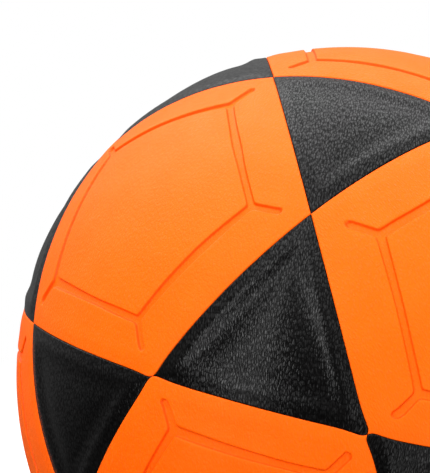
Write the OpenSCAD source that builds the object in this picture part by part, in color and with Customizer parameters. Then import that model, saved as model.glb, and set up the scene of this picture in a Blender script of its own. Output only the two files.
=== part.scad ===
// Stitched soccer ball: twelve embossed pentagonal and twenty triangular panels.
//
// The seams lie on six great circles, so the panels are the faces of an
// icosidodecahedron blown up to a sphere. Every panel is a leather skin whose
// edges fold inwards into flanges. Neighbouring flanges lie back to back and a
// waxed thread laces them together. Foam and a cloth lining back each panel,
// and an air-tight rubber bladder with a needle valve fills the inside.
//
// The ball's centre is the origin, and the valve points along +Z.

/* [Ball] */
// Outer diameter of the inflated ball
ball_d = 220; // [216:0.5:224]

/* [Cover] */
// Thickness of a panel's leather skin and of its folded flanges
skin_t = 1.4; // [1.2:0.1:1.6]
// How far the flanges reach inwards from the outside of the ball
flange_reach = 5; // [4.6:0.1:5.4]
// Distance from a seam at which a panel's edge starts to roll in
seam_shoulder = 1; // [0.6:0.1:1.4]
// Depth of the valley between two panels
seam_depth = 1.1; // [0.7:0.1:1.2]
// Diameter of the pit where four panels' corners meet
corner_pit_d = 1.6; // [1.2:0.1:2]

/* [Embossing] */
// Width of the pressed grooves on the pentagons
groove_w = 2.7; // [2:0.1:3.2]
// Depth of the pressed grooves
groove_depth = 0.9; // [0.5:0.1:1]
// Angle from a panel's centre to a corner of the grooved pentagon
groove_ring_angle = 22; // [19:0.5:23]
// Angle from a panel's centre to the end of a grooved leg
groove_leg_angle = 26.6; // [25:0.2:28]

/* [Backing] */
// Thickness of the foam under the skin
foam_t = 2.2; // [1.8:0.1:2.4]
// Width of the channel between a seam and the backing of its panels
backing_inset = 2.8; // [2.6:0.1:3.2]

/* [Stitching] */
// Stitches along each seam
stitch_count = 10; // [8:1:12]
// Width of the waxed thread, which is pressed a little flat
thread_w = 0.9; // [0.7:0.05:1]
// Diameter of the punched stitch holes
stitch_hole_d = 1.1; // [1.05:0.05:1.2]
// Angle that stays unstitched at each end of a seam
stitch_margin = 2.5; // [2:0.1:3]

/* [Bladder] */
// Wall thickness of the bladder
bladder_t = 1; // [0.8:0.1:1.2]
// Air gap that eases the bladder into the lining
bladder_gap = 0.1; // [0.05:0.05:0.2]

/* [Valve] */
// Diameter of the hole in the panel above the valve
valve_hole_d = 8.6; // [8.4:0.1:9]
// Diameter of the valve's neck in that hole
neck_tip_d = 8; // [7.8:0.1:8.2]
// Diameter of the valve's neck inside the cover
neck_root_d = 11.4; // [11:0.1:12]
// Diameter of the valve's flange inside the bladder
valve_flange_d = 28; // [24:1:32]
// Diameter of the rubber plug
plug_d = 6; // [5.6:0.1:6.2]
// Diameter of the inflation needle's passage
needle_d = 2; // [1.8:0.1:2.2]
// Length of the inflation needle's passage
needle_passage = 10.5; // [9:0.5:11]
// Diameter of the patches laid into the lining at the valve and opposite it
patch_d = 34; // [30:1:40]

/* [Hidden] */
$fn = 128;

// Numbering of the nodes.
function two_digits(i) = str(i < 10 ? "0" : "", i);
function numbered(name, count) = [for (i = [1 : count]) str(name, "_", two_digits(i))];
PENTAGON_NODES = concat(["valve_panel"], numbered("pentagon_panel", 11));
TRIANGLE_NODES = numbered("triangle_panel", 20);
THREAD_NODES = numbered("seam_thread", 6);

// Colours.
orange = [1.00, 0.45, 0.06];
black = [0.10, 0.10, 0.10];
foam_white = [0.93, 0.92, 0.88];
cloth = [0.86, 0.82, 0.72];
thread_white = [0.95, 0.94, 0.90];
bladder_black = [0.16, 0.16, 0.17];
valve_red = [0.55, 0.10, 0.08];
patch_grey = [0.45, 0.45, 0.46];

// Radii of the layers, from the outside in.
ball_r = ball_d / 2;
skin_in_r = ball_r - skin_t;
foam_in_r = skin_in_r - foam_t;
flange_in_r = ball_r - flange_reach;
bladder_out_r = flange_in_r - bladder_gap;
bladder_in_r = bladder_out_r - bladder_t;
// A length that reaches past the ball from its centre.
past_ball = 1.1 * ball_r;
cut_slack = 1;

// Angles of the icosidodecahedron. A tilt is the angle between a panel's axis
// and the normals of the great circles that bound it.
upper_ring_polar = atan(2);
crown_triangle_polar = atan(3 - sqrt(5));
belt_triangle_polar = atan(3 + sqrt(5));
pentagon_tilt = upper_ring_polar;
triangle_tilt = belt_triangle_polar;
seam_arc = 36;

// Where the panels sit: [polar angle, azimuth, turn about the panel's own axis].
function ring(polar, first, turn) = [for (k = [0 : 4]) [polar, first + 72 * k, turn]];
PENTAGON_SPOTS = concat(
    [[0, 0, 0]],
    ring(upper_ring_polar, 0, 180),
    ring(180 - upper_ring_polar, 36, 0),
    [[180, 0, 0]]
);
TRIANGLE_SPOTS = concat(
    ring(crown_triangle_polar, 36, 0),
    ring(belt_triangle_polar, 36, 180),
    ring(180 - belt_triangle_polar, 0, 0),
    ring(180 - crown_triangle_polar, 0, 180)
);
// The six great circles share their axes with the upper six pentagons.
SEAM_CIRCLE_SPOTS = [for (i = [0 : 5]) PENTAGON_SPOTS[i]];

// Stitching.
stitch_r = ball_r - 3.4;
stitch_half_arc = seam_arc / 2 - stitch_margin;
stitch_pitch = 2 * stitch_half_arc / (stitch_count - 1);
thread_h = 0.7 * thread_w;
thread_bevel = thread_h / 4;
thread_play = 0.05;
thread_low_z = skin_t + thread_play;
crossing_d = thread_w / 2;

// Heights of the valve's features along +Z.
valve_tip_z = ball_r - 0.6;
plug_top_z = valve_tip_z - 0.4;
needle_lead_in = 0.8;
needle_bottom_z = plug_top_z - needle_lead_in - needle_passage;
plug_bottom_z = needle_bottom_z - 1.8;
neck_step_z = foam_in_r;
housing_floor = 1.6;
valve_flange_t = 1.5;
housing_d = 12;
lining_hole_d = neck_root_d + 0.6;
plug_collar_d = plug_d + 1.6;
plug_collar_h = 2;
plug_collar_z = plug_bottom_z + 4;

module toward(spot) {
    rotate([0, 0, spot[1]]) rotate([0, spot[0], 0]) rotate([0, 0, spot[2]]) children();
}

// A sphere whose poles lie to the side, clear of a panel about +Z.
module side_poled_sphere(r) {
    rotate([0, 90, 0]) sphere(r = r);
}

// A bar along +Z from low to high.
module bar(d, low, high) {
    translate([0, 0, low]) cylinder(d = d, h = high - low);
}

module shell(outer_r, inner_r) {
    difference() {
        side_poled_sphere(outer_r);
        side_poled_sphere(inner_r);
    }
}

// The cone of space over a panel with `sides` sides, pulled in from each seam.
module panel_sector(sides, tilt, inset) {
    intersection_for (k = [0 : sides - 1]) {
        rotate([0, 0, 360 * k / sides]) rotate([0, tilt, 0])
            translate([-past_ball, -past_ball, inset]) cube(2 * past_ball);
    }
}

// Puts children on each of the panel's seams: +Z is the seam's normal, towards
// the panel, and +X points at the middle of the seam.
module on_each_seam(sides, tilt) {
    for (k = [0 : sides - 1])
        rotate([0, 0, 360 * k / sides]) rotate([0, tilt, 0]) rotate([0, 0, 180]) children();
}

// The rolled-in edge that turns two neighbouring panels into a valley.
module seam_valley() {
    slope = seam_shoulder / seam_depth;
    outside = cut_slack;
    rotate([0, 0, 180]) rotate_extrude()
        polygon([
            [ball_r - seam_depth, 0],
            [ball_r - seam_depth, -outside],
            [ball_r + outside, -outside],
            [ball_r + outside, seam_shoulder + slope * outside]
        ]);
}

module stitch_holes() {
    for (i = [0 : stitch_count - 1])
        rotate([0, 0, -stitch_half_arc + i * stitch_pitch])
            translate([stitch_r, 0, 0])
                cylinder(d = stitch_hole_d, h = 2 * backing_inset, center = true);
}

// The rounded pits where four panels' corners meet.
module corner_pits(sides, tilt) {
    corner_polar = acos(cos(seam_arc / 2) * sin(tilt));
    for (k = [0 : sides - 1])
        rotate([0, 0, 360 * k / sides]) rotate([0, corner_polar, 0])
            bar(corner_pit_d, ball_r - 2 * seam_depth, past_ball);
}

// A skin with its folded, punched flanges.
module panel_skin(sides, tilt) {
    difference() {
        intersection() {
            side_poled_sphere(ball_r);
            panel_sector(sides, tilt, 0);
        }
        intersection() {
            side_poled_sphere(skin_in_r);
            panel_sector(sides, tilt, skin_t);
        }
        side_poled_sphere(flange_in_r);
        on_each_seam(sides, tilt) seam_valley();
        on_each_seam(sides, tilt) stitch_holes();
        corner_pits(sides, tilt);
    }
}

// A flat blade through the ball's centre that spans the angle 2 * half about +Z.
module groove_blade(half) {
    inner = ball_r - 10;
    rotate([90, 0, 90]) linear_extrude(groove_w, center = true)
        polygon([
            [-inner * tan(half), inner],
            [inner * tan(half), inner],
            [past_ball * tan(half), past_ball],
            [-past_ball * tan(half), past_ball]
        ]);
}

module groove_end(polar) {
    rotate([0, polar, 0]) translate([0, 0, ball_r - 10])
        cylinder(d = groove_w + 0.2, h = past_ball - ball_r + 10, $fn = 48);
}

// The pressed pentagon with a short leg towards each corner of the panel.
module groove_pattern() {
    side_polar = atan(tan(groove_ring_angle) * cos(36));
    side_half = asin(sin(groove_ring_angle) * sin(36));
    leg_middle = (groove_ring_angle + groove_leg_angle) / 2;
    leg_half = (groove_leg_angle - groove_ring_angle) / 2;
    difference() {
        for (k = [0 : 4]) {
            rotate([0, 0, 72 * k + 36]) rotate([0, side_polar, 0]) groove_blade(side_half);
            rotate([0, 0, 72 * k]) {
                rotate([0, leg_middle, 0]) rotate([0, 0, 90]) groove_blade(leg_half);
                groove_end(groove_ring_angle);
                groove_end(groove_leg_angle);
            }
        }
        side_poled_sphere(ball_r - groove_depth);
    }
}

module pentagon_panel(spot, valve_hole = false) {
    color(orange) toward(spot) difference() {
        panel_skin(5, pentagon_tilt);
        groove_pattern();
        if (valve_hole) bar(valve_hole_d, flange_in_r, past_ball);
    }
}

module triangle_panel(spot) {
    color(black) toward(spot) panel_skin(3, triangle_tilt);
}

// One layer of backing behind a panel, clear of the stitched flanges.
module backing(sides, tilt, outer_r, inner_r) {
    intersection() {
        shell(outer_r, inner_r);
        panel_sector(sides, tilt, backing_inset);
    }
}

module pentagon_foam() {
    color(foam_white)
        for (i = [0 : len(PENTAGON_SPOTS) - 1])
            toward(PENTAGON_SPOTS[i]) difference() {
                backing(5, pentagon_tilt, skin_in_r, foam_in_r);
                if (i == 0) bar(lining_hole_d, flange_in_r, past_ball);
            }
}

module triangle_foam() {
    color(foam_white)
        for (spot = TRIANGLE_SPOTS)
            toward(spot) backing(3, triangle_tilt, skin_in_r, foam_in_r);
}

// The first and the last pentagon's lining make room for the patches.
module pentagon_lining() {
    color(cloth)
        for (i = [0 : len(PENTAGON_SPOTS) - 1])
            toward(PENTAGON_SPOTS[i]) difference() {
                backing(5, pentagon_tilt, foam_in_r, flange_in_r);
                if (i == 0 || i == len(PENTAGON_SPOTS) - 1)
                    bar(patch_d, flange_in_r - 5, past_ball);
            }
}

module triangle_lining() {
    color(cloth)
        for (spot = TRIANGLE_SPOTS)
            toward(spot) backing(3, triangle_tilt, foam_in_r, flange_in_r);
}

// Cross-section of the thread, lying flat on the X axis.
module thread_section() {
    half_w = thread_w / 2;
    polygon([
        [thread_bevel - half_w, 0],
        [half_w - thread_bevel, 0],
        [half_w, thread_bevel],
        [half_w, thread_h - thread_bevel],
        [half_w - thread_bevel, thread_h],
        [thread_bevel - half_w, thread_h],
        [-half_w, thread_h - thread_bevel],
        [-half_w, thread_bevel]
    ]);
}

// A run of thread along the flange on the +Z side of a seam.
module thread_run() {
    rotate([0, 0, -stitch_half_arc]) rotate_extrude(angle = 2 * stitch_half_arc)
        translate([stitch_r, thread_low_z]) thread_section();
}

// The lacing of one seam: a run of thread along each flange, joined by a
// crossing through every pair of stitch holes.
module lacing() {
    thread_run();
    mirror([0, 0, 1]) thread_run();
    for (i = [0 : stitch_count - 1])
        rotate([0, 0, -stitch_half_arc + i * stitch_pitch])
            translate([stitch_r, 0, 0])
                cylinder(d = crossing_d, h = 2 * thread_low_z + thread_h, center = true, $fn = 24);
}

// The ten seams of one great circle.
module seam_thread(spot) {
    color(thread_white) toward(spot)
        for (k = [0 : 9]) rotate([0, 0, seam_arc * k]) lacing();
}

module bladder() {
    color(bladder_black) difference() {
        sphere(r = bladder_out_r);
        sphere(r = bladder_in_r);
        bar(neck_root_d, bladder_in_r - 5, past_ball);
    }
}

// The moulded rubber body that is vulcanised to the inside of the bladder.
module valve_housing() {
    flange_mid_r = bladder_in_r - valve_flange_t / 2;
    color(bladder_black) difference() {
        union() {
            intersection() {
                shell(bladder_in_r, bladder_in_r - valve_flange_t);
                bar(valve_flange_d, ball_r / 2, past_ball);
            }
            bar(housing_d, plug_bottom_z - housing_floor, flange_mid_r);
            bar(neck_root_d, flange_mid_r - cut_slack, neck_step_z);
            bar(neck_tip_d, neck_step_z - cut_slack, valve_tip_z);
        }
        bar(plug_d, plug_bottom_z, valve_tip_z + cut_slack);
        bar(plug_collar_d, plug_collar_z, plug_collar_z + plug_collar_h);
        bar(needle_d + 0.6, plug_bottom_z - housing_floor - cut_slack, plug_bottom_z + cut_slack);
    }
}

// The self-sealing plug. The needle's passage stops above the closed lips.
module valve_plug() {
    color(valve_red) difference() {
        union() {
            bar(plug_d, plug_bottom_z, plug_top_z);
            bar(plug_collar_d, plug_collar_z, plug_collar_z + plug_collar_h);
        }
        bar(needle_d, needle_bottom_z, plug_top_z + cut_slack);
        translate([0, 0, plug_top_z - needle_lead_in])
            cylinder(d1 = needle_d, d2 = needle_d + 1.6, h = needle_lead_in);
    }
}

module patch_disc() {
    intersection() {
        shell(foam_in_r, flange_in_r);
        bar(patch_d, ball_r / 2, past_ball);
    }
}

module valve_patch() {
    color(patch_grey) difference() {
        patch_disc();
        bar(lining_hole_d, ball_r / 2, past_ball);
    }
}

// The counterweight that balances the valve.
module balance_patch() {
    color(patch_grey) rotate([180, 0, 0]) patch_disc();
}

for (i = [0 : len(PENTAGON_NODES) - 1])
    pentagon_panel(PENTAGON_SPOTS[i], valve_hole = i == 0);
for (i = [0 : len(TRIANGLE_NODES) - 1])
    triangle_panel(TRIANGLE_SPOTS[i]);
for (i = [0 : len(THREAD_NODES) - 1])
    seam_thread(SEAM_CIRCLE_SPOTS[i]);
pentagon_foam();
triangle_foam();
pentagon_lining();
triangle_lining();
bladder();
valve_housing();
valve_plug();
valve_patch();
balance_patch();
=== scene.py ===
import math
from functools import partial
from itertools import combinations

import bpy
import numpy as np
from mathutils import Matrix, Vector


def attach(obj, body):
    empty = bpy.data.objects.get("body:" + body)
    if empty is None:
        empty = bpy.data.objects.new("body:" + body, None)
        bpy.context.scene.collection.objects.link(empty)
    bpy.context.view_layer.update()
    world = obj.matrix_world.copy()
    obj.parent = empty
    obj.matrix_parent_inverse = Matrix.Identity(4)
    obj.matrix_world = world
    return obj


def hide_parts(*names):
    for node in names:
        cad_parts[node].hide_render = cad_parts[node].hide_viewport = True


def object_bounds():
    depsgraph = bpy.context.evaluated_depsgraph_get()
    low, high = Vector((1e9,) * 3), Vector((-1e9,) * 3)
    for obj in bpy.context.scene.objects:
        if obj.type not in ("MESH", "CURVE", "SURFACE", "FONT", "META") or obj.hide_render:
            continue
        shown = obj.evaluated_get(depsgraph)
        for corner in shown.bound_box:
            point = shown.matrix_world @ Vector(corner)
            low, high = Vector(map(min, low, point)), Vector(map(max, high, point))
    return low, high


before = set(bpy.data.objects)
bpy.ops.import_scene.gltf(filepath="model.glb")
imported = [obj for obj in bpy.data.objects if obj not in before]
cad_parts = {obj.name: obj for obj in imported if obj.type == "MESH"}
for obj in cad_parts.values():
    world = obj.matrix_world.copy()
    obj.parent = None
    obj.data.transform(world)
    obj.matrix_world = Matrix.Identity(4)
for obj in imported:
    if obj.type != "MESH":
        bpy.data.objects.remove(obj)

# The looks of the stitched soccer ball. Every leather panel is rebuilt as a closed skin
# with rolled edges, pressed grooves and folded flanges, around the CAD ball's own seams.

MM = 0.001
TURN = 2 * math.pi

cad_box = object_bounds()
BALL_R = max(high - low for low, high in zip(*cad_box)) / 2

# ---------------------------------------------------------------- sizes

# The layers of a panel, as in the CAD part.
SKIN_T = 1.4 * MM
FLANGE_R = BALL_R - 5 * MM
LINED_R = BALL_R - SKIN_T
VALVE_HOLE_R = 4.3 * MM

# The rolled lip of the valve hole, and the share of it at which its middle ring lies.
HOLE_LIP = 0.5 * MM
LIP_BEND = 0.3

# The rolled edge of a panel along its seams.
EDGE_ROLL = 0.45 * MM
SEAM_GAP = 0.02 * MM

# The pressed pentagon of grooves.
GROOVE_RING_ANGLE = math.radians(22)
GROOVE_LEG_ANGLE = math.radians(26.6)
GROOVE_DEPTH = 0.9 * MM
GROOVE_FLOOR = 0.95 * MM
GROOVE_SHOULDER = 1.42 * MM
GROOVE_SEAM_SHOULDER = 1.6 * MM
GROOVE_FILLET = 0.25 * MM
GROOVE_WANDER = 0.12 * MM
LEG_NARROWING = 0.15 * MM

# The ring of grooves runs this far from the seams. Its wall changes from the seam side's
# shoulder to the inner one over a short blend.
RING_TO_SEAM = 16.2 * MM
SHOULDER_BLEND = 1 * MM

# Long rounded waves in the leather beside a line: height, distance from it, and width.
GROOVE_WELT = (0.04 * MM, 2.3 * MM, 0.9 * MM)
PENTAGON_WAVES = [
    (0.10 * MM, 4.0 * MM, 2.5 * MM),
    (-0.10 * MM, 0.0, 2.5 * MM),
]
TRIANGLE_WAVES = [
    (0.38 * MM, 4.2 * MM, 2.0 * MM),
    (-0.15 * MM, 0.0, 1.8 * MM),
    (-0.24 * MM, 8.8 * MM, 3.0 * MM),
]

# The triangles' crown: its height, and the distances from the seam between which it rises.
CROWN = 0.38 * MM
CROWN_RISE = (8 * MM, 20 * MM)

# Uneven leather: the lengths of its waves in mm, and the height of the longest.
UNEVEN_LENGTHS = (45, 34, 26, 19, 14, 11)
PENTAGON_UNEVEN = 0.025 * MM
TRIANGLE_UNEVEN = 0.045 * MM

# How far from a corner's bisector two seams' distances are rounded into one.
SEAM_MERGE = 1.2 * MM

# Tilt: the angle between a panel's axis and the normals of its seams' planes.
PENTAGON_TILT = math.atan(2)
TRIANGLE_TILT = math.atan(3 + math.sqrt(5))


# ---------------------------------------------------------------- where the panels sit

def ring(polar, first, turn):
    return [(polar, first + k * TURN / 5, turn) for k in range(5)]


def toward(spot):
    """Turns a panel about +Z to its spot: polar angle, azimuth, turn about its own axis."""
    polar, azimuth, turn = spot
    placed = (
        Matrix.Rotation(azimuth, 3, "Z")
        @ Matrix.Rotation(polar, 3, "Y")
        @ Matrix.Rotation(turn, 3, "Z")
    )
    return np.array(placed)


UPPER_RING = math.atan(2)
CROWN_RING = math.atan(3 - math.sqrt(5))
BELT_RING = math.atan(3 + math.sqrt(5))
HALF = TURN / 2
PENTAGON_SPOTS = (
    [(0, 0, 0)]
    + ring(UPPER_RING, 0, HALF)
    + ring(HALF - UPPER_RING, TURN / 10, 0)
    + [(HALF, 0, 0)]
)
TRIANGLE_SPOTS = (
    ring(CROWN_RING, TURN / 10, 0)
    + ring(BELT_RING, TURN / 10, HALF)
    + ring(HALF - BELT_RING, 0, 0)
    + ring(HALF - CROWN_RING, 0, HALF)
)


# ---------------------------------------------------------------- small helpers

def unit(vectors):
    return vectors / np.linalg.norm(vectors, axis=-1, keepdims=True)


def smoothstep(low, high, value):
    x = np.clip((value - low) / (high - low), 0, 1)
    return x * x * (3 - 2 * x)


def wave(value, height, centre, width):
    return height * np.exp(-(((value - centre) / width) ** 2))


def soft_min(values, softness):
    """The smallest of each row of values, rounded where two are close."""
    low = values.min(axis=1, keepdims=True)
    total = np.exp(-(values - low) / softness).sum(axis=1)
    return low[:, 0] - softness * np.log(total)


def polar_point(polar, azimuth):
    flat = math.sin(polar)
    return np.array([flat * math.cos(azimuth), flat * math.sin(azimuth), math.cos(polar)])


# ---------------------------------------------------------------- where four panels meet

# At most corners the four tips don't quite meet: two opposite panels touch over a short
# stretch. Positive: the pentagons touch. Negative: the triangles touch.
TIP_OVERLAPS = {(4, 9): 0.85 * MM, (5, 9): -0.85 * MM}
LOOSE_TIP = 0.25 * MM
TIP_FOLD = 0.45 * MM
TIP_REACH = 5.5 * MM

# Only neighbouring pentagons' axes are closer together than this cosine says.
NEIGHBOUR_COSINE = 0.4


def corner_tips():
    """Place, pulling direction and pull of each corner's tips."""
    rng = np.random.default_rng(12)
    centres = [toward(spot)[:, 2] for spot in PENTAGON_SPOTS]
    tips = []
    for i, j in combinations(range(len(centres)), 2):
        if centres[i] @ centres[j] < NEIGHBOUR_COSINE:
            continue
        place = unit(centres[i] + centres[j])
        between = unit(centres[j] - centres[i])
        pull = rng.uniform(-LOOSE_TIP, LOOSE_TIP)
        pull = TIP_OVERLAPS.get((i, j), pull)
        axis = np.cross(place, between) if pull > 0 else between
        tips.append((place, axis, abs(pull)))
    return tips


CORNER_TIPS = corner_tips()


def pull_tips(points):
    """Moves points near a corner apart along its pulling direction."""
    moved = points.copy()
    heading = unit(points)
    for place, axis, pull in CORNER_TIPS:
        near = heading @ place > math.cos(4 * TIP_REACH / BALL_R)
        if not near.any():
            continue
        from_tip = points[near] - place * np.linalg.norm(points[near], axis=1)[:, None]
        across = from_tip @ axis
        fade = np.exp(-(from_tip ** 2).sum(axis=1) / TIP_REACH ** 2)
        moved[near] += (pull * np.tanh(across / TIP_FOLD) * fade)[:, None] * axis
    return moved


# ---------------------------------------------------------------- the relief of a panel

def seam_distance(heading, sides, tilt):
    """Distance from the nearest seam, rounded where two seams are equally near."""
    normals = np.array([polar_point(tilt, k * TURN / sides) for k in range(sides)])
    return soft_min(np.arcsin(heading @ normals.T) * BALL_R, SEAM_MERGE)


def segment_gap(heading, start, end):
    """Angle from each heading to the great-circle stretch from start to end."""
    normal = unit(np.cross(start, end))
    off_plane = heading @ normal
    flat = heading - off_plane[:, None] * normal
    inside = (np.cross(start, flat) @ normal > 0) & (np.cross(flat, end) @ normal > 0)
    off_ends = np.arccos(np.clip(np.maximum(heading @ start, heading @ end), -1, 1))
    return np.where(inside, np.abs(np.arcsin(off_plane)), off_ends)


def unevenness(heading, rng, size):
    """Low, wide waves of stretched leather."""
    lift = np.zeros(len(heading))
    for length in UNEVEN_LENGTHS:
        direction = unit(rng.normal(size=3))
        phase = rng.uniform(0, TURN)
        frequency = TURN * BALL_R / (length * MM)
        lift += length / UNEVEN_LENGTHS[0] * np.sin(heading @ direction * frequency + phase)
    return size * lift


def groove_relief(heading, rng):
    """The pressed pentagon with a leg towards each corner, and its steep walls, which get a
    painted shade.
    """
    gaps = []
    for k in range(5):
        here, there = k * TURN / 5, (k + 1) * TURN / 5
        bend = polar_point(GROOVE_RING_ANGLE, here)
        leg = segment_gap(heading, bend, polar_point(GROOVE_LEG_ANGLE, here))
        gaps.append(segment_gap(heading, bend, polar_point(GROOVE_RING_ANGLE, there)) * BALL_R)
        gaps.append(leg * BALL_R + LEG_NARROWING)
    gap = soft_min(np.array(gaps).T, GROOVE_FILLET) + unevenness(heading, rng, GROOVE_WANDER)
    past_ring = seam_distance(heading, 5, PENTAGON_TILT) - RING_TO_SEAM
    inside = smoothstep(-SHOULDER_BLEND, SHOULDER_BLEND, past_ring)
    shoulder = GROOVE_SEAM_SHOULDER + inside * (GROOVE_SHOULDER - GROOVE_SEAM_SHOULDER)
    pressed = 1 - smoothstep(GROOVE_FLOOR, shoulder, gap)
    # The grooves' steep walls, where the leather's colour gets a painted shade.
    shaded_walls = 4 * pressed * (1 - pressed)
    return wave(gap, *GROOVE_WELT) - GROOVE_DEPTH * pressed, shaded_walls


# How far a panel's pressed pattern sits from its middle: mm along the panel's own x and y
# axes, and degrees about its own axis. These five are fitted to the real ball. The other
# panels' patterns are off by chance.
PATTERN_OFF = {
    0: (-2.0, -0.6, 0.0),
    4: (-0.5, 0.0, -1.5),
    5: (-1.5, -2.8, -0.5),
    8: (-2.4, -0.9, 0.0),
    9: (-1.7, 0.2, -1.3),
}
USUAL_SHIFT = 1.2
USUAL_TURN = 0.8
PATTERN_SEED = 40

# A pattern slides in full between these distances from the seams and from the middle.
SLIDE_OFF_SEAM = (1 * MM, 9 * MM)
SLIDE_OFF_MIDDLE = (8 * MM, 25 * MM)


def pattern_off(number):
    """The x shift, y shift and turn of a pentagon's pressed pattern."""
    rng = np.random.default_rng(PATTERN_SEED + number)
    by_chance = (*rng.normal(0, USUAL_SHIFT, 2), rng.normal(0, USUAL_TURN))
    return PATTERN_OFF.get(number, by_chance)


def slide_pattern(heading, off):
    """Moves a pentagon's headings with its pressed pattern, but not at its edge and middle."""
    x, y, turn = off
    spin = np.array([-y * MM / BALL_R, x * MM / BALL_R, math.radians(turn)])
    from_middle = np.arccos(np.clip(heading[:, 2], -1, 1)) * BALL_R
    share = smoothstep(*SLIDE_OFF_SEAM, seam_distance(heading, 5, PENTAGON_TILT))
    share *= smoothstep(*SLIDE_OFF_MIDDLE, from_middle)
    return unit(heading + share[:, None] * np.cross(spin, heading))


def pentagon_relief(heading, rng, off):
    """The moved headings, the height of the leather there, and the grooves' walls for the painted
    shade.
    """
    pressed, shaded_walls = groove_relief(heading, rng)
    heading = slide_pattern(heading, off)
    distance = seam_distance(heading, 5, PENTAGON_TILT)
    waves = sum(wave(distance, *each) for each in PENTAGON_WAVES)
    return heading, waves + pressed + unevenness(heading, rng, PENTAGON_UNEVEN), shaded_walls


def triangle_relief(heading, rng):
    """The same for a triangle, whose headings stay and which has no grooves, so no painted shade.
    """
    distance = seam_distance(heading, 3, TRIANGLE_TILT)
    waves = sum(wave(distance, *each) for each in TRIANGLE_WAVES)
    crown = CROWN * smoothstep(*CROWN_RISE, distance)
    lift = waves + crown + unevenness(heading, rng, TRIANGLE_UNEVEN)
    return heading, lift, np.zeros(len(heading))


# ---------------------------------------------------------------- the mesh of a panel

# Points along half a side: many in a short stretch at the corner, few along the rest.
CORNER_STRETCH = 0.088
CORNER_STEPS = 10
SIDE_STEPS = 36

# Stretches from a panel's middle to its edge, in mm at the middle of a side: from, to, step.
PENTAGON_STATIONS = [
    (2.6, 31.8, 1.3),
    (31.8, 33.0, 0.4),
    (33.0, 34.1, 0.18),
    (34.1, 35.45, 0.45),
    (35.45, 36.5, 0.18),
    (36.5, 38.3, 0.45),
    (38.3, 41.0, 0.7),
    (41.0, 44.2, 0.35),
    (44.2, 48.2, 0.8),
]
TRIANGLE_STATIONS = [(1.6, 18.0, 0.9)]
PENTAGON = (5, PENTAGON_TILT, PENTAGON_STATIONS)
TRIANGLE = (3, TRIANGLE_TILT, TRIANGLE_STATIONS)

# Nearer the middle than these places, in mm, a ring has a quarter or half of the points.
QUARTER_WITHIN = 8
HALF_WITHIN = 20

# The outline turns into a circle between these two scales. The circle's size is in inradii.
ROUND_SCALES = (0.12, 0.45)
ROUND_SIZE = 1.1

# Rings where the skin comes to its edge: distances from the seam, then steps of the roll.
EDGE_GAPS = (2.3 * MM, 1.6 * MM, 1.0 * MM)
ROLL_STEPS = 6

# The inside of a skin: rings of its flange (distance from the seam, radius), and the rings
# from there to its middle.
FLANGE_RINGS = (
    (SEAM_GAP, FLANGE_R + 1.5 * MM),
    (SEAM_GAP, FLANGE_R),
    (SKIN_T, FLANGE_R),
    (SKIN_T, LINED_R - 0.5 * MM),
    (SKIN_T + 0.5 * MM, LINED_R),
)
INSIDE_RINGS = 10
INSIDE_START = 0.9
INSIDE_QUARTER = 0.35
INSIDE_POLE_R = 4 * MM


def outline(sides, tilt):
    """A panel's outline on the plane one ball radius out, with points crowded at corners."""
    inradius = 1 / math.tan(tilt)
    half_side = inradius * math.tan(HALF / sides)
    main = 1 - CORNER_STRETCH
    along = np.concatenate([
        np.linspace(-1, -main, CORNER_STEPS, endpoint=False),
        np.linspace(-main, main, SIDE_STEPS, endpoint=False),
        np.linspace(main, 1, CORNER_STEPS, endpoint=False),
    ])
    stretches = []
    for k in range(sides):
        middle = (k + 0.5) * TURN / sides
        outward = np.array([math.cos(middle), math.sin(middle)])
        sideways = np.array([-math.sin(middle), math.cos(middle)])
        stretches.append(inradius * outward + half_side * along[:, None] * sideways)
    return np.concatenate(stretches)


def headings(edge, inradius, scale):
    """Directions through the outline drawn at a scale. Small outlines turn into circles."""
    scale = np.broadcast_to(scale, len(edge))[:, None]
    circle = ROUND_SIZE * inradius * unit(edge)
    roundness = 1 - smoothstep(*ROUND_SCALES, scale)
    flat = scale * (edge + roundness * (circle - edge))
    return unit(np.column_stack([flat, np.ones(len(edge))]))


def scale_off_seam(edge, inradius, gap, radius):
    """The scale at which the outline runs at a distance gap from the seams' planes."""
    scale = np.ones(len(edge))
    reach = (edge ** 2).sum(axis=1)
    for _ in range(5):
        spread = np.sqrt(1 + scale ** 2 * reach)
        scale = 1 - gap / radius * math.hypot(1, inradius) / inradius * spread
    return scale


def strip(a, b):
    """Faces between two rings of vertex numbers. One may have twice as many as the other."""
    faces = []
    if len(a) == len(b):
        for j in range(len(a)):
            n = (j + 1) % len(a)
            faces.append((a[j], b[j], b[n], a[n]))
    elif len(a) == 2 * len(b):
        for j in range(len(b)):
            n, far = (j + 1) % len(b), (2 * j + 2) % len(a)
            faces.append((a[2 * j], b[j], a[2 * j + 1]))
            faces.append((a[2 * j + 1], b[j], b[n]))
            faces.append((a[2 * j + 1], b[n], a[far]))
    else:
        for j in range(len(a)):
            n, far = (j + 1) % len(a), (2 * j + 2) % len(b)
            faces.append((a[j], b[2 * j], b[2 * j + 1]))
            faces.append((a[j], b[2 * j + 1], a[n]))
            faces.append((a[n], b[2 * j + 1], b[far]))
    return faces


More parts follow.
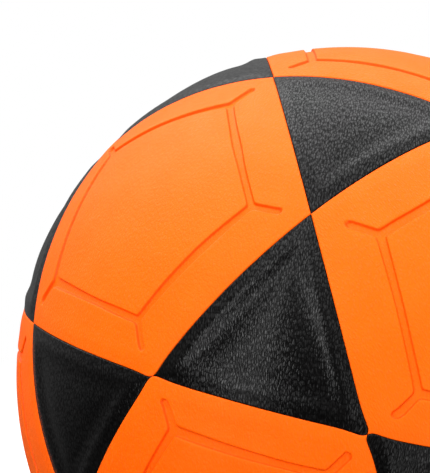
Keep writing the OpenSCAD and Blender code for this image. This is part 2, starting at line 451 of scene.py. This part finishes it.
def panel_rings(sides, tilt, stations, relief, hole_r):
    """The rings of a panel, from its middle over the edge and back along the inside, and the
    painted shade on its grooves' walls.
    """
    inradius = 1 / math.tan(tilt)
    edge = outline(sides, tilt)
    rings = []
    wall_shades = []

    def add(scale, thin, radius=None, drop=0.0):
        heading = headings(edge[::thin], inradius, scale)
        # Points off the grooves' walls get no painted shade.
        wall_shade = np.zeros(len(heading))
        if radius is None:
            heading, lift, wall_shade = relief(heading)
            radius = (BALL_R - drop + lift)[:, None]
        rings.append(heading * radius)
        wall_shades.append(wall_shade)

    start = 1.0 * MM
    if hole_r:
        # The lip of the hole rolls over into its wall.
        start = hole_r + 2 * HOLE_LIP
        lip_scale = math.tan(math.asin(hole_r / BALL_R)) / (ROUND_SIZE * inradius)
        add(lip_scale, 4, radius=LINED_R)
        add(lip_scale, 4, drop=HOLE_LIP)
        add(lip_scale * (1 + LIP_BEND * HOLE_LIP / hole_r), 4, drop=LIP_BEND * HOLE_LIP)
        add(lip_scale * (1 + HOLE_LIP / hole_r), 4)

    for low, high, step in stations:
        low = max(low, start / MM)
        for place in np.arange(low, high - 0.01, step):
            scale = math.tan(place * MM / BALL_R) / inradius
            add(scale, 4 if place < QUARTER_WITHIN else 2 if place < HALF_WITHIN else 1)

    for gap in EDGE_GAPS:
        add(scale_off_seam(edge, inradius, gap, BALL_R), 1)
    for k in range(ROLL_STEPS + 1):
        bend = k / ROLL_STEPS * HALF / 2
        gap = SEAM_GAP + EDGE_ROLL * (1 - math.sin(bend))
        drop = EDGE_ROLL * (1 - math.cos(bend))
        add(scale_off_seam(edge, inradius, gap, BALL_R - drop), 1, drop=drop)

    for gap, radius in FLANGE_RINGS:
        add(scale_off_seam(edge[::2], inradius, gap, radius), 2, radius=radius)
    last = (hole_r or INSIDE_POLE_R) / (ROUND_SIZE * inradius * BALL_R)
    for scale in np.linspace(INSIDE_START, last, INSIDE_RINGS)[:-1]:
        add(scale, 2 if scale > INSIDE_QUARTER else 4, radius=LINED_R)
    if not hole_r:
        add(last, 4, radius=LINED_R)
    return rings, np.concatenate(wall_shades)


def panel_mesh(name, rings, closed_ring):
    """A closed mesh through the rings, capped by a point at both ends or bent into a ring."""
    counts = np.cumsum([0] + [len(r) for r in rings])
    numbers = [list(range(counts[i], counts[i + 1])) for i in range(len(rings))]
    points = np.concatenate(rings)
    faces = []
    for a, b in zip(numbers, numbers[1:]):
        faces += strip(a, b)
    if closed_ring:
        faces += strip(numbers[-1], numbers[0])
    else:
        outer = points[numbers[0]].mean(axis=0)
        outer *= np.linalg.norm(points[0]) / np.linalg.norm(outer)
        inner = np.array([0, 0, LINED_R])
        first, last = numbers[0], numbers[-1]
        top, under = len(points), len(points) + 1
        points = np.vstack([points, outer, inner])
        for j in range(len(first)):
            faces.append((top, first[j], first[(j + 1) % len(first)]))
        for j in range(len(last)):
            faces.append((last[j], under, last[(j + 1) % len(last)]))
    mesh = bpy.data.meshes.new(name)
    mesh.from_pydata(points.tolist(), [], faces)
    mesh.update()
    mesh.shade_smooth()
    return mesh


# The grain's direction on the hides, measured from straight up, and how much it varies.
GRAIN_LEAN = math.radians(20)
GRAIN_SPREAD = math.radians(9)
CM_PER_M = 100


def vertex_places(mesh):
    places = np.empty(3 * len(mesh.vertices))
    mesh.vertices.foreach_get("co", places)
    return places.reshape(-1, 3)


def lay_grain(mesh, placed, rng):
    """Flat coordinates in centimetres for the grain, which runs along their x axis."""
    heading = unit(vertex_places(mesh))
    polar = np.arccos(np.clip(heading[:, 2], -1, 1))
    from_axis = np.linalg.norm(heading[:, :2], axis=1)
    flat = heading[:, :2] / np.maximum(from_axis, 1e-9)[:, None]
    flat *= (polar * BALL_R * CM_PER_M)[:, None]
    upward = math.atan2(placed[2, 1], placed[2, 0])
    way = upward + rng.normal(GRAIN_LEAN, GRAIN_SPREAD)
    spin = np.array([[math.cos(way), math.sin(way)], [-math.sin(way), math.cos(way)]])
    flat = flat @ spin.T + rng.uniform(20, 80, size=2)
    corners = np.empty(len(mesh.loops), dtype=np.int32)
    mesh.loops.foreach_get("vertex_index", corners)
    layer = mesh.uv_layers.new(name="grain")
    layer.data.foreach_set("uv", flat[corners].ravel())


def make_panel(node, shape, spot, relief, material, hole_r=0.0):
    """One leather panel in place of its CAD node. shape: sides, tilt and stations."""
    rng = np.random.default_rng(sum(ord(letter) for letter in node))
    relief_seed = rng.integers(1 << 30)

    def own_relief(heading):
        return relief(heading, np.random.default_rng(relief_seed))

    rings, wall_shades = panel_rings(*shape, own_relief, hole_r)
    mesh = panel_mesh(node + "_leather", rings, closed_ring=bool(hole_r))
    # The painted shade of the grooves' walls goes on the mesh for the material.
    if wall_shades.any():
        poles = np.zeros(len(mesh.vertices) - len(wall_shades))
        layer = mesh.attributes.new("wall_shade", "FLOAT", "POINT")
        layer.data.foreach_set("value", np.concatenate([wall_shades, poles]))
    turned = toward(spot)
    lay_grain(mesh, turned, rng)
    placed = pull_tips(vertex_places(mesh) @ turned.T)
    mesh.vertices.foreach_set("co", placed.ravel())
    mesh.update()
    mesh.materials.append(material)
    panel = bpy.data.objects.new(node + "_leather", mesh)
    bpy.context.scene.collection.objects.link(panel)
    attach(panel, "root")
    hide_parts(node)


# ---------------------------------------------------------------- materials

class Graph:
    """Writes a node tree: an input that is given a socket is linked, and else it is set."""

    def __init__(self, owner):
        owner.use_nodes = True
        self.tree = owner.node_tree
        self.tree.nodes.clear()

    def add(self, kind, inputs=None, **settings):
        made = self.tree.nodes.new("ShaderNode" + kind)
        for name, value in settings.items():
            setattr(made, name, value)
        for key, value in (inputs or {}).items():
            if isinstance(value, bpy.types.NodeSocket):
                self.tree.links.new(value, made.inputs[key])
            else:
                made.inputs[key].default_value = value
        return made

    def math(self, operation, *values):
        return self.add("Math", dict(enumerate(values)), operation=operation).outputs[0]

    def fit(self, value, low, high, to_low=0.0, to_high=1.0):
        """Maps low..high smoothly to to_low..to_high."""
        limits = {"From Min": low, "From Max": high, "To Min": to_low, "To Max": to_high}
        made = self.add("MapRange", {"Value": value, **limits}, interpolation_type="SMOOTHSTEP")
        return made.outputs["Result"]

    def dot(self, a, b):
        return self.add("VectorMath", {0: a, 1: b}, operation="DOT_PRODUCT").outputs["Value"]

    def flat_noise(self, place, scale, detail):
        inputs = {"Vector": place, "Scale": scale, "Detail": detail}
        return self.add("TexNoise", inputs, noise_dimensions="2D")

    def mix_colours(self, factor, a, b):
        """The Mix node's sockets share their names, so its colour ones go by number."""
        mixed = self.add("Mix", {0: factor, 6: a, 7: b}, data_type="RGBA")
        return mixed.outputs[2]

    def finish(self, tint, roughness, relief, **others):
        """A Principled surface on the material's output."""
        inputs = {"Base Color": tint, "Roughness": roughness, "Normal": relief.outputs["Normal"]}
        shader = self.add("BsdfPrincipled", inputs | others)
        self.add("OutputMaterial", {"Surface": shader.outputs[0]})


def colour(red, green, blue):
    return (red, green, blue, 1.0)


# Coated leather. Its grain wavers: how fine the drift is per centimetre, and how far it goes.
DRIFT_SCALE = 2.2
DRIFT_SIZE = (0.06, 0.06, 0.0)
# The cracks' widths in the fine grain and between the wrinkles' pebbles, in cells.
GRAIN_CRACK = 0.35
WRINKLE_CRACK = 0.3
# How many pebbles there are across for each stroke, and how much a crack between them tells.
PEBBLE_STRETCH = 0.75
PEBBLE_CONTRAST = 0.7
# The strokes' noise, spread out to reach from 0 to 1.
STROKE_GAIN = 1.3
STROKE_OFFSET = -0.15
PORE_SCALE = 34.0
BUMP_DEPTH = 0.1 * MM
TONE_SCALE = 0.8
# Grain heights over which the specular level rises from low to high. The low level in the cracks
# is a painted shade.
SHINE_SPAN = (0.05, 0.8)
DULL_SPREAD = 0.03


def leather(name, base, worn, wall_shade_tint, grain, wrinkle, roughness, specular):
    """grain and wrinkle: cells per centimetre along and across, and their depth. The third colour
    is a painted shade on the grooves' steep walls.
    """
    material = bpy.data.materials.new(name)
    graph = Graph(material)
    place = graph.add("UVMap", uv_map="grain").outputs["UV"]
    drift = graph.flat_noise(place, DRIFT_SCALE, 2.0).outputs["Color"]
    shifted = graph.add("VectorMath", {0: drift, 1: DRIFT_SIZE}, operation="MULTIPLY")
    bent = graph.add("VectorMath", {0: place, 1: shifted.outputs[0]}, operation="ADD").outputs[0]

    def stretch(along, across):
        scale = (along, across, 1.0)
        return graph.add("Mapping", {"Vector": bent, "Scale": scale}).outputs[0]

    def cells(along, across, crack):
        web = graph.add(
            "TexVoronoi",
            {"Vector": stretch(along, across), "Scale": 1.0, "Randomness": 1.0},
            voronoi_dimensions="2D",
            feature="DISTANCE_TO_EDGE",
        )
        return graph.fit(web.outputs["Distance"], 0.0, crack)

    grain_along, grain_across, grain_depth = grain
    wrinkle_along, wrinkle_across, wrinkle_depth = wrinkle
    fine = cells(grain_along, grain_across, GRAIN_CRACK)
    strokes = graph.flat_noise(stretch(wrinkle_along, wrinkle_across), 1.0, 0.0).outputs["Fac"]
    strokes = graph.math("MULTIPLY_ADD", strokes, STROKE_GAIN, STROKE_OFFSET)
    pebbles = cells(wrinkle_along, PEBBLE_STRETCH * wrinkle_across, WRINKLE_CRACK)
    pebbles = graph.math("MULTIPLY_ADD", pebbles, PEBBLE_CONTRAST, 1 - PEBBLE_CONTRAST)
    coarse = graph.math("MULTIPLY", strokes, pebbles)
    pores = graph.flat_noise(bent, PORE_SCALE, 3.0).outputs["Fac"]
    fine_height = graph.math("MULTIPLY", fine, grain_depth)
    coarse_height = graph.math("MULTIPLY", coarse, wrinkle_depth)
    height = graph.math("ADD", fine_height, coarse_height)
    height = graph.math("MULTIPLY_ADD", pores, grain_depth, height)
    relief = graph.add("Bump", {"Strength": 1.0, "Distance": BUMP_DEPTH, "Height": height})

    tone = graph.flat_noise(place, TONE_SCALE, 4.0).outputs["Fac"]
    tint = graph.mix_colours(graph.fit(tone, 0.3, 0.7), base, worn)
    # Painted shade: the grooves' steep walls are darkened in the leather's colour.
    wall_shade = graph.add("Attribute", attribute_name="wall_shade").outputs["Fac"]
    tint = graph.mix_colours(wall_shade, tint, wall_shade_tint)
    dull = graph.fit(tone, 0.25, 0.75, roughness + DULL_SPREAD, roughness - DULL_SPREAD)
    # The specular level drops in the grain's cracks and low strokes, a painted shade in them.
    shine_with_cavity_shade = graph.fit(coarse, *SHINE_SPAN, *specular)
    graph.finish(tint, dull, relief, **{"IOR": 1.5, "Specular IOR Level": shine_with_cavity_shade})
    return material


def grained_solid(name, base, other, scale, detail, depth, roughness):
    """A cast or foamed material: speckled colour and a fine noise in its surface."""
    material = bpy.data.materials.new(name)
    graph = Graph(material)
    place = graph.add("TexCoord").outputs["Object"]
    speckle = graph.add("TexNoise", {"Vector": place, "Scale": scale, "Detail": detail})
    speckle = speckle.outputs["Fac"]
    relief = graph.add("Bump", {"Strength": 1.0, "Distance": depth, "Height": speckle})
    tint = graph.mix_colours(graph.fit(speckle, 0.35, 0.65), base, other)
    graph.finish(tint, roughness, relief)
    return material


def woven(name, base, other, threads):
    """Plain-weave cloth, with threads per metre."""
    material = bpy.data.materials.new(name)
    graph = Graph(material)
    place = graph.add("TexCoord").outputs["Object"]
    warp = graph.add("TexWave", {"Vector": place, "Scale": threads}, bands_direction="X")
    weft = graph.add("TexWave", {"Vector": place, "Scale": threads}, bands_direction="Z")
    over = graph.math("MULTIPLY", warp.outputs["Fac"], weft.outputs["Fac"])
    relief = graph.add("Bump", {"Strength": 0.8, "Distance": 0.2 * MM, "Height": over})
    graph.finish(graph.mix_colours(over, base, other), 0.9, relief)
    return material


orange_leather = leather(
    "orange_leather",
    base=colour(1.0, 0.114, 0.0),
    worn=colour(1.0, 0.120, 0.001),
    # Painted shade on the grooves' walls: a darker, redder orange.
    wall_shade_tint=colour(0.90, 0.065, 0.0),
    grain=(12.0, 10.0, 0.20),
    wrinkle=(6.0, 16.0, 1.00),
    roughness=0.42,
    specular=(0.07, 0.13),
)
black_leather = leather(
    "black_leather",
    base=colour(0.0014, 0.0013, 0.0013),
    worn=colour(0.0022, 0.002, 0.002),
    # The triangles have no grooves, so no painted shade: the same as the base.
    wall_shade_tint=colour(0.0014, 0.0013, 0.0013),
    grain=(17.0, 14.0, 0.03),
    wrinkle=(6.2, 20.5, 0.40),
    roughness=0.18,
    specular=(0.045, 0.28),
)

# What the CAD nodes inside the ball are made of: a word in the node's name, two colours, and
# threads per metre for cloth, or else the speckle's scale and detail, its depth, roughness.
CLOTHS = [
    ("lining", (0.45, 0.42, 0.35), (0.75, 0.72, 0.62), 900),
    ("thread", (0.60, 0.58, 0.52), (0.85, 0.84, 0.80), 1400),
]
SOLIDS = [
    ("foam", (0.85, 0.84, 0.80), (0.70, 0.69, 0.64), 900, 4, 0.2 * MM, 0.9),
    ("bladder", (0.02, 0.02, 0.02), (0.03, 0.03, 0.032), 300, 3, 0.05 * MM, 0.55),
    ("housing", (0.015, 0.015, 0.015), (0.02, 0.02, 0.02), 500, 3, 0.04 * MM, 0.6),
    ("plug", (0.06, 0.012, 0.01), (0.09, 0.018, 0.014), 700, 3, 0.04 * MM, 0.6),
    ("patch", (0.16, 0.16, 0.17), (0.20, 0.20, 0.21), 600, 3, 0.08 * MM, 0.8),
]
HIDDEN_MATERIALS = {}
for make, rows in ((woven, CLOTHS), (grained_solid, SOLIDS)):
    for word, first, second, *sizes in rows:
        HIDDEN_MATERIALS[word] = make(word, colour(*first), colour(*second), *sizes)


# ---------------------------------------------------------------- the ball

for number, spot in enumerate(PENTAGON_SPOTS):
    make_panel(
        "valve_panel" if number == 0 else f"pentagon_panel_{number:02d}",
        PENTAGON,
        spot,
        partial(pentagon_relief, off=pattern_off(number)),
        orange_leather,
        hole_r=VALVE_HOLE_R if number == 0 else 0.0,
    )
for number, spot in enumerate(TRIANGLE_SPOTS, start=1):
    node = f"triangle_panel_{number:02d}"
    make_panel(node, TRIANGLE, spot, triangle_relief, black_leather)

for name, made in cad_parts.items():
    for key, material in HIDDEN_MATERIALS.items():
        if key in name:
            made.data.materials.clear()
            made.data.materials.append(material)


# ---------------------------------------------------------------- stage, light and camera

FLOOR_R = 0.6
FLOOR_GREY = 0.85
# The floor fades out between these shares of its radius.
FLOOR_FADE = (0.3, 0.95)


def pale_floor():
    """A white disc that fades into the white background."""
    under_ball = (0, 0, -BALL_R)
    bpy.ops.mesh.primitive_circle_add(
        vertices=96, radius=FLOOR_R, fill_type="NGON", location=under_ball
    )
    floor = bpy.context.object
    floor.name = "floor"
    material = bpy.data.materials.new("floor")
    graph = Graph(material)
    place = graph.add("TexCoord").outputs["Object"]
    away = graph.add("VectorMath", {0: place}, operation="LENGTH").outputs["Value"]
    matt = graph.add("BsdfDiffuse", {"Color": colour(FLOOR_GREY, FLOOR_GREY, FLOOR_GREY)})
    glow = graph.add("Emission", {"Color": colour(1, 1, 1), "Strength": 1.0})
    fade = graph.fit(away, *(share * FLOOR_R for share in FLOOR_FADE))
    mixed = graph.add("MixShader", {0: fade, 1: matt.outputs[0], 2: glow.outputs[0]})
    graph.add("OutputMaterial", {"Surface": mixed.outputs[0]})
    floor.data.materials.append(material)
    # The soft lights already hold the light that comes back from below.
    floor.visible_diffuse = False
    floor.visible_glossy = False
    floor.visible_shadow = False


# Soft lights all round the ball: azimuth from the camera's side towards +X, elevation,
# strength, how small it is, and how narrow an upright strip it is (0 for a round light).
SOFT_LIGHTS = [
    (0, 90, 1.3, 5, 0),
    (0, 55, 0.6, 5, 0),
    (60, 55, 0.7, 5, 0),
    (165, 72, 0.7, 5, 0),
    (165, 72, 1.9, 16, 0),
    (253, 50, 1.7, 5, 0),
    (238, 42, 2.8, 16, 0),
    (300, 55, 1.0, 5, 0),
    (40, 20, 0.45, 5, 0),
    (321, 5, 8.5, 5, 75),
    (200, 20, 0.2, 5, 0),
    (258, -12, 0.2, 5, 0),
    (340, -15, 0.1, 5, 0),
    (24, -15, 3.6, 5, 75),
    (60, -15, 0.45, 5, 0),
    (100, -15, 0.25, 5, 0),
]


def studio_world():
    """A white background, and a dim room with wide soft lights for everything but the camera."""
    world = bpy.data.worlds.new("studio")
    bpy.context.scene.world = world
    graph = Graph(world)
    heading = graph.add("TexCoord").outputs["Generated"]
    room = 0.0
    for azimuth, elevation, strength, tightness, narrowness in SOFT_LIGHTS:
        toward_light = tuple(polar_point(math.radians(90 - elevation), math.radians(azimuth - 90)))
        facing = graph.dot(heading, toward_light)
        falloff = graph.math("MULTIPLY_ADD", facing, float(tightness), -float(tightness))
        if narrowness:
            aside = graph.dot(heading, tuple(polar_point(HALF / 2, math.radians(azimuth))))
            squared = graph.math("MULTIPLY", aside, aside)
            falloff = graph.math("MULTIPLY_ADD", squared, -float(narrowness), falloff)
        room = graph.math("MULTIPLY_ADD", graph.math("EXPONENT", falloff), strength, room)
    seen = graph.add("LightPath").outputs["Is Camera Ray"]
    lit = graph.add("Background", {"Color": colour(1, 1, 1), "Strength": room})
    white = graph.add("Background", {"Color": colour(1, 1, 1), "Strength": 1.0})
    mixed = graph.add("MixShader", {0: seen, 1: lit.outputs[0], 2: white.outputs[0]})
    graph.add("OutputWorld", {"Surface": mixed.outputs[0]})


# The camera, in ball radii: its own turn, and the ball's centre on its right, up and back axes.
CAMERA_AZIMUTH = math.radians(-1.425)
CAMERA_ELEVATION = math.radians(5.407)
CAMERA_ROLL = math.radians(12.49)
BALL_SEEN_AT = Vector((0.3985, -0.4261, -7.4806))
LENS = 187.06
SENSOR = 36.0


def photo_camera():
    across = math.cos(CAMERA_ELEVATION)
    back = Vector((
        math.sin(CAMERA_AZIMUTH) * across,
        -math.cos(CAMERA_AZIMUTH) * across,
        math.sin(CAMERA_ELEVATION),
    ))
    level = Vector((0, 0, 1)).cross(back).normalized()
    upright = back.cross(level)
    right = math.cos(CAMERA_ROLL) * level + math.sin(CAMERA_ROLL) * upright
    up = back.cross(right)
    data = bpy.data.cameras.new("camera")
    data.lens = LENS
    data.sensor_width = SENSOR
    data.clip_start = 0.01
    data.clip_end = 10
    camera = bpy.data.objects.new("camera", data)
    turned = Matrix((right, up, back)).transposed()
    camera.matrix_world = Matrix.Translation(-(turned @ BALL_SEEN_AT) * BALL_R) @ turned.to_4x4()
    bpy.context.scene.collection.objects.link(camera)
    bpy.context.scene.camera = camera


pale_floor()
studio_world()
photo_camera()
bpy.context.scene.view_settings.view_transform = "Standard"
